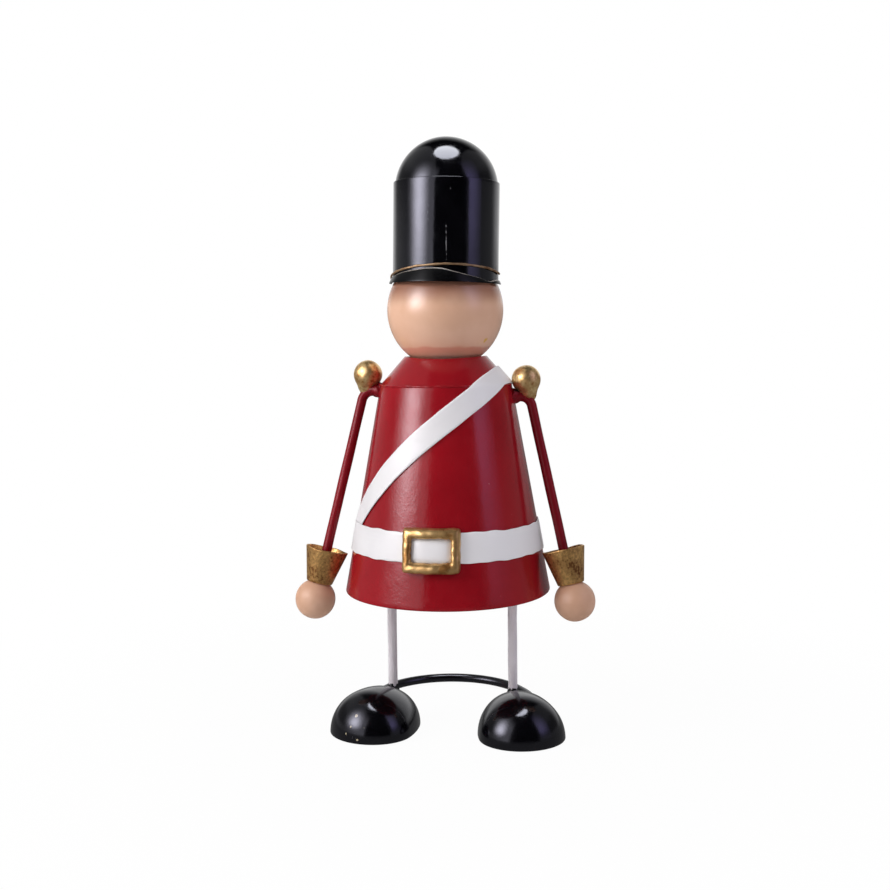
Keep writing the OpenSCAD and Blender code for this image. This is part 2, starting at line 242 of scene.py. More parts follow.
# %% [markdown]
# ## The camera
#
# The photograph was taken from a little to the figure's left and from the height of its collar,
# quite near, so the hem curves down and the boots are seen from above. Place and lens are set
# before anything is painted, because every later choice is judged through this camera.

# %% Camera
SENSOR, PHOTO_PX, FOCAL_PX, SHIFT_PX = 36, 890, 1108, -0.8
CAMERA_AT, CAMERA_DOWN, CAMERA_ROLL, CAMERA_TURN = np.array([54.9, -366.9, 131.0]), 5.13, 0.55, 8.5
lens = bpy.data.cameras.new("camera")
lens.sensor_width = SENSOR
lens.lens = FOCAL_PX / PHOTO_PX * SENSOR
lens.shift_x = SHIFT_PX / PHOTO_PX
lens.clip_start = 0.01
camera = bpy.data.objects.new("camera", lens)
camera.location = (CAMERA_AT + AXIS) / PER_METRE
camera.rotation_euler = np.radians([90 - CAMERA_DOWN, CAMERA_ROLL, CAMERA_TURN])
show(camera)
bpy.context.scene.camera = camera
bpy.context.scene.view_settings.view_transform = "Standard"
print("camera at", tuple(round(c, 3) for c in camera.location))

# %% [markdown]
# ## Small tools for paint
#
# A finish is a handful of nodes: a pattern, something that turns the pattern into colour, and a
# bump. Patterns are read on the object's own coordinates, in metres, so a scale of 1000 gives marks
# about a millimetre apart. They stay fixed on the steel from every side.


# %% Node helpers
def new_finish(name):
    """An empty paint: the material, its node tree, its shader and the object's coordinates."""
    material = bpy.data.materials.new(name)
    material.use_nodes = True
    tree = material.node_tree
    coords = tree.nodes.new("ShaderNodeTexCoord").outputs["Object"]
    return material, tree, tree.nodes["Principled BSDF"], coords


def plug(tree, node, inputs):
    """Links or fills the inputs of a node."""
    for key, value in inputs.items():
        if isinstance(value, bpy.types.NodeSocket):
            tree.links.new(value, node.inputs[key])
        else:
            node.inputs[key].default_value = value


def put(tree, kind, inputs, **settings):
    """Adds a node, sets what it is told, and plugs its inputs."""
    made = tree.nodes.new("ShaderNode" + kind)
    for key, value in settings.items():
        setattr(made, key, value)
    plug(tree, made, inputs)
    return made


def axis(tree, coords, number):
    """One of the three coordinates: 0 is x, 1 is y, 2 is z."""
    return put(tree, "SeparateXYZ", {0: coords}).outputs[number]


def cloud(tree, coords, scale, detail=3.0, rough=0.5):
    """Soft random patches, as a value of about 0.3 to 0.7."""
    inputs = {"Vector": coords, "Scale": scale, "Detail": detail, "Roughness": rough}
    return put(tree, "TexNoise", inputs).outputs["Fac"]


def stretch(tree, coords, scale):
    """The coordinates, scaled along each axis, for brush strokes and streaks."""
    return put(tree, "Mapping", {"Vector": coords, "Scale": scale}).outputs["Vector"]


def between(tree, value, low, high, start=0.0, end=1.0):
    """Maps a value from the range low to high onto start to end, with soft ends."""
    inputs = {"Value": value, "From Min": low, "From Max": high, "To Min": start, "To Max": end}
    return put(tree, "MapRange", inputs, interpolation_type="SMOOTHSTEP").outputs["Result"]


def blend_colour(tree, amount, under, over):
    """One colour over another by an amount."""
    under, over = (c if isinstance(c, bpy.types.NodeSocket) else (*c, 1) for c in (under, over))
    return put(tree, "Mix", {"Factor": amount, 6: under, 7: over}, data_type="RGBA").outputs[2]


def relief(tree, height, distance, before=None):
    """A bump of a height in metres, on top of an earlier one if there is one."""
    inputs = {"Height": height, "Distance": distance, "Strength": 1.0}
    if before is not None:
        inputs["Normal"] = before
    return put(tree, "Bump", inputs).outputs["Normal"]


def maths(tree, operation, first, second=0.0):
    """One sum on one or two values."""
    return put(tree, "Math", {0: first, 1: second}, operation=operation).outputs[0]


# %% [markdown]
# ## Enamel
#
# Coat, hat and boots are sprayed with gloss enamel. Enamel on hand-rolled sheet is never flat: it
# has fine orange peel, and the sheet under it waves a little, so reflections have wobbly edges.
# The red varies slightly where the coat is thick or thin. The black carries fine scratches.


# %% Red and black enamel
def stained(tree, coords, colour, place, size, tint, ragged=0.6, tall=1.0):
    """A colour with a ragged spot of another one, at a place in millimetres from the coat's axis.

    A spot with tall above 1 is drawn out upright by that factor, as a scratch is.
    """
    reach = size / PER_METRE
    centre = tuple((np.array(place) + AXIS) / [PER_METRE, PER_METRE, PER_METRE * tall])
    drawn = stretch(tree, coords, (1, 1, 1 / tall))
    far = put(tree, "VectorMath", {0: drawn, 1: centre}, operation="DISTANCE").outputs["Value"]
    torn = maths(tree, "MULTIPLY", cloud(tree, coords, 900, 4.0, 0.7), 2 * ragged * reach)
    edge = maths(tree, "ADD", far, torn)
    spot = between(tree, edge, reach * (0.8 + ragged), reach * (1.1 + ragged), 1.0, 0.0)
    return blend_colour(tree, spot, colour, tint)


def red_enamel(name, thin, thick, rough, index, stains=()):
    """Red between thin and thick paint, with orange peel, waves of the sheet and a few specks of dust."""
    material, tree, shader, coords = new_finish(name)
    tone = between(tree, cloud(tree, coords, 45), 0.35, 0.65)
    red = blend_colour(tree, tone, thin, thick)
    specks = put(tree, "TexVoronoi", {"Vector": coords, "Scale": 260.0}).outputs["Distance"]
    rare = between(tree, cloud(tree, coords, 130), 0.60, 0.66)
    dust = maths(tree, "MULTIPLY", between(tree, specks, 0.05, 0.09, 1.0, 0.0), rare)
    colour = blend_colour(tree, dust, red, (0.42, 0.12, 0.11))
    for stain in stains:
        colour = stained(tree, coords, colour, *stain)
    sheen = between(tree, cloud(tree, coords, 300), 0.3, 0.7, rough - 0.03, rough + 0.03)
    peel = relief(tree, cloud(tree, coords, 1300, 2.0), 35 * MICRON)
    waves = relief(tree, cloud(tree, coords, 110, 2.0), 140 * MICRON, peel)
    plug(tree, shader, {"Base Color": colour, "Roughness": sheen, "Normal": waves, "IOR": index})
    return material


def black_enamel(name, rough, scratches, stains=()):
    """Black with a faint blue, orange peel, fine upright scratches, and spots of other paint if wanted."""
    material, tree, shader, coords = new_finish(name)
    tone = between(tree, cloud(tree, coords, 60), 0.35, 0.65)
    black = blend_colour(tree, tone, (0.0013, 0.0012, 0.002), (0.0026, 0.0025, 0.0036))
    hair = cloud(tree, stretch(tree, coords, (3600, 3600, 420)), 1.0, 2.0)
    rubbed = between(tree, cloud(tree, coords, 90), scratches, scratches + 0.1)
    mark = maths(tree, "MULTIPLY", between(tree, hair, 0.68, 0.76, 0.0, 0.5), rubbed)
    colour = blend_colour(tree, mark, black, (0.16, 0.16, 0.175))
    for stain in stains:
        colour = stained(tree, coords, colour, *stain)
    sheen = between(tree, cloud(tree, coords, 220), 0.3, 0.7, rough - 0.03, rough + 0.03)
    peel = relief(tree, cloud(tree, coords, 1500, 2.0), 12 * MICRON)
    waves = relief(tree, cloud(tree, coords, 120, 2.0), 60 * MICRON, peel)
    plug(tree, shader, {"Base Color": colour, "Roughness": sheen, "Normal": waves, "IOR": 1.54,
                        "Specular Tint": (0.87, 0.88, 1.0, 1.0)})
    return material


bare_tin = (0.42, 0.36, 0.24)
chips = [((-28.6, -16.8, 8.7), 0.55, bare_tin, 1.0), ((-30.3, -18.0, 5.4), 0.4, bare_tin, 1.0),
         ((-27.9, -19.5, 1.5), 0.38, bare_tin, 1.0), ((-32.1, -17.9, 2.9), 0.34, bare_tin, 1.0),
         ((-25.6, -19.2, 5.6), 0.3, bare_tin, 1.2), ((-24.1, -19.3, 6.3), 0.26, bare_tin, 1.2)]
overspray = [((16.0, 46.6, 0.5), 2.8, (0.03, 0.002, 0.004), 1.2)]
# A near-black spot on the left arm's weld at the shoulder: a painted shadow, where the gilded ball shades the
# weld.
weld_shadow = [((24.2, -1.4, 117.0), 1.7, (0.014, 0.004, 0.006))]
dust = (0.2, 0.2, 0.21)
flecks = [((3.1, -17.4, 163.0), 0.24, dust, 1.3, 24.0), ((4.6, -17.2, 180.2), 0.2, dust, 1.2, 5.0)]
sheet_red = (0.285, 0.0056, 0.0115), (0.33, 0.0068, 0.0135)
# The arm wires' red is darker than the coat's: partly a deeper crimson of their own, partly painted shade for
# wires that stand in the coat's shadow.
wire_red_and_shade = (0.19, 0.003, 0.0095), (0.235, 0.004, 0.011)
coat_finish = red_enamel("coat_enamel", *sheet_red, 0.16, 1.42)
arm_finish = red_enamel("arm_enamel", *wire_red_and_shade, 0.32, 1.28)
# The left arm's enamel carries the painted weld shadow.
weld_shadow_finish = red_enamel("weld_shadow_enamel", *wire_red_and_shade, 0.32, 1.28, weld_shadow)
hat_finish = black_enamel("hat_enamel", 0.12, 0.62, flecks)
boot_finish = black_enamel("boot_enamel", 0.15, 0.64)
chipped_finish = black_enamel("chipped_enamel", 0.15, 0.5, chips)
hoop_finish = black_enamel("hoop_enamel", 0.22, 0.6, overspray)
print("finishes", coat_finish.name, hat_finish.name, boot_finish.name)

# %% [markdown]
# ## Gold leaf
#
# Buckle, cuffs, cord and shoulder balls are gilded. Leaf is metal, thin and crumpled: bright where
# it is whole, brown where the red ground shows through its cracks. So the base colour of a nearly
# metallic shader changes from gold to brown, and the crumple is a bump of creases and lumps.


# %% Gold leaf
def gold_leaf(name, light, brown, whole, crumple, rough, grain):
    """Gold with brown patches and creases of some microns; whole is higher where more leaf is left."""
    material, tree, shader, coords = new_finish(name)
    patches = cloud(tree, stretch(tree, coords, grain), 1.0, 6.0, 0.6)
    broad = cloud(tree, coords, 170, 2.0)
    mixed = maths(tree, "ADD", maths(tree, "MULTIPLY", patches, 0.6), maths(tree, "MULTIPLY", broad, 0.4))
    middle = tuple((a + b) / 2 for a, b in zip(light, brown))
    gold = blend_colour(tree, between(tree, mixed, whole - 0.14, whole), light, middle)
    aged = blend_colour(tree, between(tree, mixed, whole, whole + 0.12), gold, brown)
    sheen = between(tree, mixed, whole - 0.1, whole + 0.1, rough, rough + 0.14)
    lumps = relief(tree, cloud(tree, coords, 330, 3.0), crumple * MICRON)
    fine = relief(tree, patches, crumple * MICRON * 0.5, lumps)
    plug(tree, shader, {"Base Color": aged, "Metallic": 0.85, "Roughness": sheen, "Normal": fine})
    return material


ball_gold = gold_leaf("ball_leaf", (1.0, 0.73, 0.35), (0.46, 0.205, 0.055),
                      0.54, 260, 0.32, (760, 760, 760))
buckle_gold = gold_leaf("buckle_leaf", (0.86, 0.57, 0.245), (0.32, 0.15, 0.042),
                        0.51, 70, 0.34, (300, 300, 300))
cuff_gold = gold_leaf("cuff_leaf", (0.86, 0.52, 0.19), (0.22, 0.09, 0.026),
                      0.51, 160, 0.38, (1200, 1200, 1000))
cord_gold = gold_leaf("cord_leaf", (0.62, 0.43, 0.25), (0.3, 0.16, 0.08),
                      0.5, 40, 0.42, (420, 420, 420))

# %% [markdown]
# ## White straps, wire legs and skin
#
# Sash and belt are brushed white, a little cool, with faint strokes along the strap. The legs are
# a lilac white with smears along the wire, and the black of the boots runs up round their feet
# with a ragged edge. The head is gloss, the hands are satin over turned wood.


# %% White paint, leg paint and skin paint
def strap_white():
    """Cool white with faint brush strokes and a slight stain.

    The paint is lighter towards the figure's left, away from the main light: painted light on the shaded side,
    so that the whites hardly darken there.
    """
    material, tree, shader, coords = new_finish("strap_white")
    strokes = cloud(tree, stretch(tree, coords, (150, 150, 900)), 1.0, 4.0)
    stain = between(tree, cloud(tree, coords, 70, 4.0), 0.4, 0.75)
    white = blend_colour(tree, stain, (0.8, 0.785, 0.805), (0.745, 0.725, 0.75))
    # Painted light: the white turns lighter towards the figure's left, the side away from the main light.
    painted_fill_to_left = between(tree, axis(tree, coords, 0), -0.02, 0.022)
    plug(tree, shader, {"Base Color": blend_colour(tree, painted_fill_to_left, white, (0.93, 0.915, 0.925)),
                        "Roughness": between(tree, strokes, 0.3, 0.7, 0.38, 0.52),
                        "Normal": relief(tree, strokes, 40 * MICRON)})
    return material


def leg_white(foot_z):
    """Lilac white wire with grey smears; below a ragged line it is black."""
    material, tree, shader, coords = new_finish("leg_white")
    smear = between(tree, cloud(tree, stretch(tree, coords, (500, 500, 110)), 1.0, 4.0), 0.42, 0.72)
    white = blend_colour(tree, smear, (0.95, 0.9, 0.95), (0.86, 0.8, 0.86))
    jag = cloud(tree, stretch(tree, coords, (900, 900, 160)), 1.0, 3.0, 0.7)
    edge = maths(tree, "SUBTRACT", axis(tree, coords, 2), maths(tree, "MULTIPLY", jag, 0.0042))
    foot = foot_z / PER_METRE
    black = between(tree, edge, foot - 0.0001, foot + 0.0001, 1.0, 0.0)
    plug(tree, shader, {"Base Color": blend_colour(tree, black, white, (0.006, 0.006, 0.007)),
                        "Roughness": between(tree, black, 0.0, 1.0, 0.42, 0.18),
                        "Normal": relief(tree, cloud(tree, coords, 800, 3.0), 50 * MICRON)})
    return material


def skin_paint(name, colour, deep, rough, grain, index, brush_line_and_shade=None, stains=()):
    """Skin-coloured paint over turned wood: slow change of tone, and rings as deep as grain, in microns.

    brush_line_and_shade is a low and a high height in millimetres: below the low one the brush ran out and a
    redder ground shows under an uneven line; above the high one the skin darkens softly, a painted shadow of
    the hat's peak.
    """
    material, tree, shader, coords = new_finish(name)
    tone = between(tree, cloud(tree, coords, 80, 3.0), 0.35, 0.65)
    paint = blend_colour(tree, tone, colour, deep)
    if brush_line_and_shade:
        sway = maths(tree, "MULTIPLY", cloud(tree, coords, 120, 2.0), 0.002)
        height = maths(tree, "ADD", axis(tree, coords, 2), sway)
        low, high = np.array(brush_line_and_shade) / PER_METRE
        below = between(tree, height, low, low + 0.0009, 0.8, 0.0)
        # Painted shadow: above the high height the skin darkens softly, where the hat's peak shades it.
        painted_peak_shadow = between(tree, height, high - 0.0035, high + 0.0035, 0.0, 0.9)
        paint = blend_colour(tree, below, paint, (0.72, 0.3, 0.21))
        paint = blend_colour(tree, painted_peak_shadow, paint, (0.3, 0.125, 0.08))
    for stain in stains:
        paint = stained(tree, coords, paint, *stain)
    sheen = between(tree, cloud(tree, coords, 400), 0.3, 0.7, rough, rough + 0.08)
    rings = cloud(tree, stretch(tree, coords, (60, 60, 1500)), 1.0, 2.0)
    peel = relief(tree, cloud(tree, coords, 900, 2.0), 20 * MICRON)
    ridges = relief(tree, rings, grain * MICRON, peel)
    plug(tree, shader, {"Base Color": paint, "Roughness": sheen, "Normal": ridges, "IOR": index})
    return material


strap_finish = strap_white()
leg_finish = leg_white(foot_z=10.2)
smudge = [((14.2, -8.1, 132.7), 0.85, (0.74, 0.43, 0.12), 1.1)]
# The head's paint turns redder below 131.2 mm and darkens above 147.4 mm, the second a painted shadow under the
# hat's peak.
head_finish = skin_paint("head_paint", (0.825, 0.51, 0.36), (0.77, 0.455, 0.305),
                         0.185, 6, 1.56, (131.2, 147.4), smudge)
hand_finish = skin_paint("hand_paint", (0.76, 0.465, 0.325), (0.66, 0.38, 0.25), 0.42, 40, 1.45)

# %% [markdown]
# ## Coat and yoke
#
# Both are cones of rolled sheet, open inside. A cone primitive has no wall and no lips, so the
# outline of the sheet is turned instead. Rolled by hand, the cones are a little out of round. A
# lapped seam runs down the back of each, where the sheet's two ends meet.


# %% Coat and yoke
def out_of_round(seed, amount, lap=0.35, lap_turn=0.05):
    """Unevenness of a rolled cone: a slow change of radius and a low lapped seam at the back."""
    def wander(angle, radius, height):
        """Radius plus a ripple that drifts round with the height, plus a smooth step at the back."""
        slow = amount * ripple(angle + height * 0.004, seed, (2, 3, 4))
        back = np.abs(angle - np.pi)
        return radius + slow + lap * np.exp(-(back / lap_turn) ** 4), height
    return wander


half = SHEET / 2
coat_line = np.linspace([coat_r(HEM_Z + half), HEM_Z + half], [coat_r(SEAM_Z - half), SEAM_Z - half], 60)
coat_grid = turned(sheet_outline(coat_line, SHEET), 256, out_of_round(3, 0.09))
fit(skin("coat_skin", coat_grid, size=(4, 1)), coat_finish, "coat_paint", "coat")

COLLAR_DIP, COLLAR_OUT, YOKE_LIFT = 0.42, 0.3, 0.12
collar_z = SEAM_Z + YOKE_H


def yoke_bend(angle, radius, height):
    """A rolled cone with a bent collar: it dips with the cosine of twice the angle, front and back."""
    radius, height = out_of_round(3, 0.07)(angle, radius, height)
    share = np.clip((height - SEAM_Z) / YOKE_H, 0, 1)
    return radius, height - share ** 2 * COLLAR_DIP * (1 + np.cos(2 * angle))


yoke_line = np.linspace([SEAM_R - FIT_GAP, SEAM_Z + YOKE_LIFT], [COLLAR_R + COLLAR_OUT, collar_z - half], 24)
yoke_grid = turned(sheet_outline(yoke_line, SHEET), 256, yoke_bend)
fit(skin("yoke_skin", yoke_grid, size=(4, 1)), coat_finish, "coat_paint", "yoke")

# %% [markdown]
# A bead of weld and paint fills the seam between the two cones. It is a thin ring whose thickness
# and height wander, so that it shows as the broken line that the photograph has there.

# %% Weld bead round the shoulder seam
BEAD_IN, BEAD_LIFT, BEAD_SIZE = 0.12, 0.05, 0.34
angle = circle(360)
bead_r = SEAM_R - BEAD_IN + 0.05 * ripple(angle, 11, (9, 17, 31))
bead_z = SEAM_Z + BEAD_LIFT + 0.12 * ripple(angle, 12, (3, 8, 15, 27))
bead_up = np.array([0.0, 0.0, 1.0])
turn = circle(12)
bead_size = BEAD_SIZE + 0.1 * ripple(angle, 13, (11, 23, 37))
bead_ring = about(angle, 1.0, 0.0)[:, None] * np.cos(turn)[:, None] + bead_up * np.sin(turn)[:, None]
bead_grid = about(angle, bead_r, bead_z)[:, None] + bead_ring * bead_size[:, None, None]
fit(skin("seam_bead", bead_grid), coat_finish, "coat_paint")

# %% [markdown]
# ## Head and hat
#
# The head is a turned ball under a thick skin of paint. The hat is a rolled tube that sits on it
# and leans a little over one degree; a pressed dome is slipped into its top and leaves a small step.

# %% Head
HEAD_R = 19.3
head_low, head_high = (np.array(corner) * PER_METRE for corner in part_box("head"))
HEAD_Z = (head_low[2] + head_high[2]) / 2
polar = np.linspace(0, np.pi, 97)
ball_outline = np.stack([np.sin(polar), -np.cos(polar)], axis=-1)
head_grid = turned(ball_outline * HEAD_R, 160)
head_grid *= (1 + shake(head_grid, 5, 14, 0.0012))[..., None]
fit(skin("head_ball", head_grid + [0, 0, HEAD_Z], (True, False)), head_finish, "head_wood", "head")

# %% Hat tube and dome
HAT_R, HAT_T, HAT_H, HAT_TILT, DOME_SINK = 17.5, 0.4, 32.2, np.radians(1.2), 2.0
HAT_FOOT = np.sqrt((HEAD_R + FIT_GAP) ** 2 - (HAT_R - HAT_T) ** 2)


def lean(points):
    """Leans the hat's points to the figure's left about the middle of the head, and lifts them there."""
    return spun(points, 2, 0, HAT_TILT) + [0, 0, HEAD_Z]


tube_line = np.linspace([HAT_R, HAT_FOOT + HAT_T / 2], [HAT_R, HAT_FOOT + HAT_H - HAT_T / 2], 40)
tube_grid = turned(sheet_outline(tube_line, HAT_T), 256, out_of_round(21, 0.05, 0.2))
fit(skin("hat_tube_skin", lean(tube_grid), size=(4, 1)), hat_finish, "hat_paint", "hat_tube")

dome_r = HAT_R - HAT_T - FIT_GAP
rise = np.linspace(0, np.pi / 2, 56)
dome_line = np.stack([dome_r * np.cos(rise), dome_r * np.sin(rise)], axis=-1)
dome_outline = np.concatenate([dome_line, dome_line[::-1] * (dome_r - SHEET) / dome_r])
dome_outline[:, 1] += HAT_FOOT + HAT_H - DOME_SINK
dome_grid = turned(dome_outline, 192)
dome_grid *= 1 + shake(dome_grid, 8, 22, 0.0006)[..., None]
fit(skin("hat_dome_skin", lean(dome_grid)), hat_finish, "hat_paint", "hat_dome")

# %% [markdown]
# ## Peak and cord
#
# The peak is a thin crescent that hangs over the forehead. Its upper edge follows the gold cord on
# the figure's right and sinks below it on the left, where the peak was bent down. Its outline is a
# flat plate with round edges, carried round the hat while its upper edge rises and falls.

# %% Peak and cord
def peak_enamel():
    """Satin black whose upper edge is light, rubbed bare and with a painted highlight: there the UV map's
    second number is next to 0 or 1.

    The light rim grows wider at the bent end, where the first number is high.
    """
    material, tree, shader, coords = new_finish("peak_enamel")
    sheet = put(tree, "SeparateXYZ", {0: put(tree, "TexCoord", {}).outputs["UV"]})
    apart = maths(tree, "ABSOLUTE", maths(tree, "SUBTRACT", sheet.outputs[1], 0.5))
    apart = maths(tree, "ADD", apart, between(tree, sheet.outputs[0], 0.76, 0.88, 0.0, 0.09))
    rub = maths(tree, "ADD", apart, maths(tree, "MULTIPLY", cloud(tree, coords, 500, 3.0), 0.05))
    # Light rim along the upper edge: worn bare paint and a painted highlight.
    bare_edge_and_highlight = between(tree, rub, 0.37, 0.41)
    colour = blend_colour(tree, bare_edge_and_highlight, (0.0015, 0.0015, 0.002), (0.42, 0.38, 0.34))
    plug(tree, shader, {"Base Color": colour, "Roughness": 0.2, "IOR": 1.3})
    return material


PEAK_FOOT, PEAK_RISE, PEAK_SKEW, PEAK_DROP, PEAK_LAP = 1.7, 3.1, 0.8, 4.1, 0.7
PEAK_OFF, PEAK_HALF, PEAK_LEAN, CORD_OFF, CORD_R = 0.4, 0.3, np.radians(23), 0.5, 0.35
SINK_AT, SINK = [-90, 3, 23, 60, 72, 90], [0.24, 0.24, 0.66, 1.05, 0.62, 0.5]
swing = np.radians(np.linspace(-86, 86, 173))
arch = PEAK_FOOT + PEAK_SKEW * np.sin(swing) + PEAK_RISE * np.cos(swing)
around = np.degrees(swing)[:, None] + np.linspace(-6, 6, 9)
sink = np.interp(around, SINK_AT, SINK).mean(axis=1)
crest = arch - PEAK_DROP * sink + 0.05 * ripple(swing, 33, (7, 12, 19))
corner = circle(28)
down = (1 - blunt(np.cos(corner), 0.3)) / 2 * (crest + PEAK_LAP)[:, None]
thick = PEAK_HALF * blunt(np.sin(corner), 0.7)
peak_r = HAT_R + PEAK_OFF + thick + down * np.tan(PEAK_LEAN)
peak_grid = about(swing[:, None], peak_r, HAT_FOOT + crest[:, None] - down)
peak_grid = capped(peak_grid, peak_grid[[0, -1]].mean(axis=1))
fit(skin("hat_peak", lean(peak_grid), (False, True)), peak_enamel(), "hat_paint", "hat_visor")

cord_path = about(swing, HAT_R + CORD_OFF, HAT_FOOT + arch + 0.035 * ripple(swing, 31, (9, 14, 23)))
cord_plane = about(swing, 1.0, 0.0)
cord_size = CORD_R + 0.04 * ripple(swing, 32, (13, 22, 35))
cord_grid = wire(cord_path, cord_plane, cord_size[:, None], 12)
fit(skin("hat_cord_wire", lean(cord_grid), (False, True)), cord_gold, "gold_leaf", "hat_cord")

# %% [markdown]
# ## Sash
#
# The sash is a straight flat strip of tin. Laid on a cone it follows the straightest line there is:
# unrolled, the cone is a fan and the strip a straight band in it. It runs from the belt over the
# left shoulder and down the back, and its hand-cut edges are not quite straight.

# %% Sash
SASH_W, SASH_T, SASH_SLOPE, SASH_LOW, SASH_OFF = 7.3, 0.6, np.radians(32.5), 1.2, 0.14
BELT_UP, BELT_W, BELT_OFF, BELT_HALF = 14.5, 9.4, 0.32, 0.26
BELT_LOW, BELT_TOP = HEM_Z + BELT_UP, HEM_Z + BELT_UP + BELT_W
coat_tip = SEAM_Z + SEAM_R / np.tan(COAT_SLOPE)
yoke_tip = SEAM_Z + SEAM_R / np.tan(YOKE_SLOPE)
coat_slant, yoke_slant = SEAM_R / np.sin(COAT_SLOPE), SEAM_R / np.sin(YOKE_SLOPE)
end_slant = (coat_tip - BELT_TOP - FIT_GAP) / np.cos(COAT_SLOPE)


def strip_on_coat(across, share):
    """Slant and turn on the coat's fan: the clear distance from the tip over the cosine of the lean."""
    clear = coat_slant * np.cos(SASH_SLOPE) + across
    foot = np.arccos(clear / end_slant)
    top = np.arccos(clear / coat_slant)
    tilt = foot + (top - foot) * share
    return clear / np.cos(tilt), SASH_SLOPE / np.sin(YOKE_SLOPE) + (tilt - SASH_SLOPE) / np.sin(COAT_SLOPE)


def strip_on_yoke(across, share):
    """The same on the yoke's fan, level where the strip passes over the shoulder."""
    clear = yoke_slant * np.cos(SASH_SLOPE) + across
    tilt = np.arccos(clear / yoke_slant) * (1 - share)
    return clear / np.cos(tilt), strip_on_coat(across, 1.0)[1] * (1 - share)


def on_cone(slant, turn, slope, tip, off):
    """A point off a cone: slant times the slope's sine is the radius; off lifts it square to the steel."""
    radius = slant * np.sin(slope) + off * np.cos(slope)
    height = tip - slant * np.cos(slope) + off * np.sin(slope)
    return np.stack([radius * np.cos(turn), -radius * np.sin(turn), height], axis=-1)


strip_turn = circle(32)
strip_x = blunt(np.cos(strip_turn), 0.18) * SASH_W / 2
strip_y = SASH_OFF + SASH_T / 2 + np.sin(strip_turn) * SASH_T / 2
low_share, high_share = np.linspace(0, 0.985, 110)[:, None], np.linspace(0.06, 1, 44)[:, None]
coat_across = SASH_LOW + strip_x * (1 + 0.1 * ripple(low_share * 3, 41, (5, 9, 14)) / 9)
yoke_across = SASH_LOW + strip_x * (1 + 0.1 * ripple(high_share + 3, 41, (5, 9, 14)) / 9)
front_low = on_cone(*strip_on_coat(coat_across, low_share), COAT_SLOPE, coat_tip, strip_y)
front_high = on_cone(*strip_on_yoke(yoke_across, high_share), YOKE_SLOPE, yoke_tip, strip_y)
front = np.concatenate([front_low, front_high])
back = front[-2::-1] * [1, -1, 1]
sash_grid = np.concatenate([front, back])
sash_grid = capped(sash_grid, sash_grid[[0, -1]].mean(axis=1))
fit(skin("sash_strip", sash_grid, (False, True), (20, 1)), strap_finish, "strap_paint", "sash")

# %% [markdown]
# ## Belt and buckle
#
# The belt is a painted band with wavering edges. The buckle is a cast frame with a soft, lumpy
# section, bent to the coat. Its outline goes round a rectangle with round corners: a square is
# divided by its own high-power norm, which only rounds the corners. Inside it the white swells.

# %% Belt
belt_turn = circle(32)
belt_x = blunt(np.cos(belt_turn), 0.12)
angle = circle(360)[:, None]
edge = np.where(belt_x > 0, ripple(angle, 51, (5, 11, 19, 29)), ripple(angle, 52, (4, 9, 17, 31)))
belt_z = (BELT_LOW + BELT_TOP) / 2 + belt_x * (BELT_TOP - BELT_LOW) / 2 + 0.16 * edge
belt_r = coat_r(belt_z) + BELT_OFF + BELT_HALF * np.sin(belt_turn)
fit(skin("belt_band", about(angle, belt_r, belt_z), size=(20, 1)), strap_finish, "strap_paint", "belt")

# %% Buckle and the swelling in its window
BUCKLE_W, BUCKLE_H, BUCKLE_T, BUCKLE_OFF = 18.4, 14.0, 2.2, 0.6
BAR, WINDOW_LAP = np.array([2.9, 3.3]), 0.2
BUCKLE_X, BUCKLE_DROP = -0.5, 0.7
buckle_z = (BELT_LOW + BELT_TOP) / 2 - BUCKLE_DROP
walk = np.linspace(0, 4, 241)[:-1]
corner_at = [0, 0.5, 1.5, 2.5, 3.5, 4]
square_x = np.interp(walk, corner_at, [1, 1, -1, -1, 1, 1])
square_y = np.interp(walk, corner_at, [0, 1, 1, -1, -1, 0])


def round_square(power):
    """The unit square's outline with its corners rounded: each point over its own high-power norm."""
    norm = (np.abs(square_x) ** power + np.abs(square_y) ** power) ** (1 / power)
    return np.stack([square_x, square_y], axis=-1) / norm[:, None]


def on_coat_front(x, z, off):
    """A point in front of the coat: off is measured forward from the cone at that height and side."""
    radius = coat_r(z) + off
    return np.stack([x, -np.sqrt(radius ** 2 - x ** 2), z], axis=-1)


buckle_half = np.array([BUCKLE_W, BUCKLE_H]) / 2
outer = round_square(16) * buckle_half
inner = round_square(12) * (buckle_half - BAR)
walk_turn = walk * np.pi / 2
lumps = np.stack([ripple(walk_turn, 61, (4, 7, 13, 18)), ripple(walk_turn, 62, (5, 9, 14, 19))], axis=-1)
outer += 0.06 * lumps * np.sign(outer)
inner += 0.08 * lumps[:, ::-1] * np.sign(inner)
section = circle(28)
share = (1 - blunt(np.cos(section), 0.75)) / 2
face = np.clip(np.sin(section), 0, 1) ** 0.8 * BUCKLE_T + np.clip(np.sin(section), -1, 0) * 0.25
frame_xz = inner[:, None] + (outer - inner)[:, None] * share[:, None]
swell = 1 + 0.025 * ripple(walk_turn, 63, (6, 11, 17))[:, None]
buckle_x, buckle_up = BUCKLE_X + frame_xz[..., 0], buckle_z + frame_xz[..., 1]
buckle_grid = on_coat_front(buckle_x, buckle_up, BUCKLE_OFF + face * swell)
fit(skin("buckle_frame", buckle_grid), buckle_gold, "gold_leaf", "buckle")

rings = np.concatenate([np.linspace(0, 1, 18), [1.02, 0.0]])
bulge = np.concatenate([0.62 + 0.75 * (1 - np.linspace(0, 1, 18) ** 3.5), [0.45, 0.45]])
pad = round_square(5)[None] * rings[:, None, None] * (buckle_half - BAR + WINDOW_LAP)
pad_grid = on_coat_front(BUCKLE_X + pad[..., 0], buckle_z + pad[..., 1], bulge[:, None])
fit(skin("belt_window", pad_grid, (False, True)), strap_finish, "strap_paint")

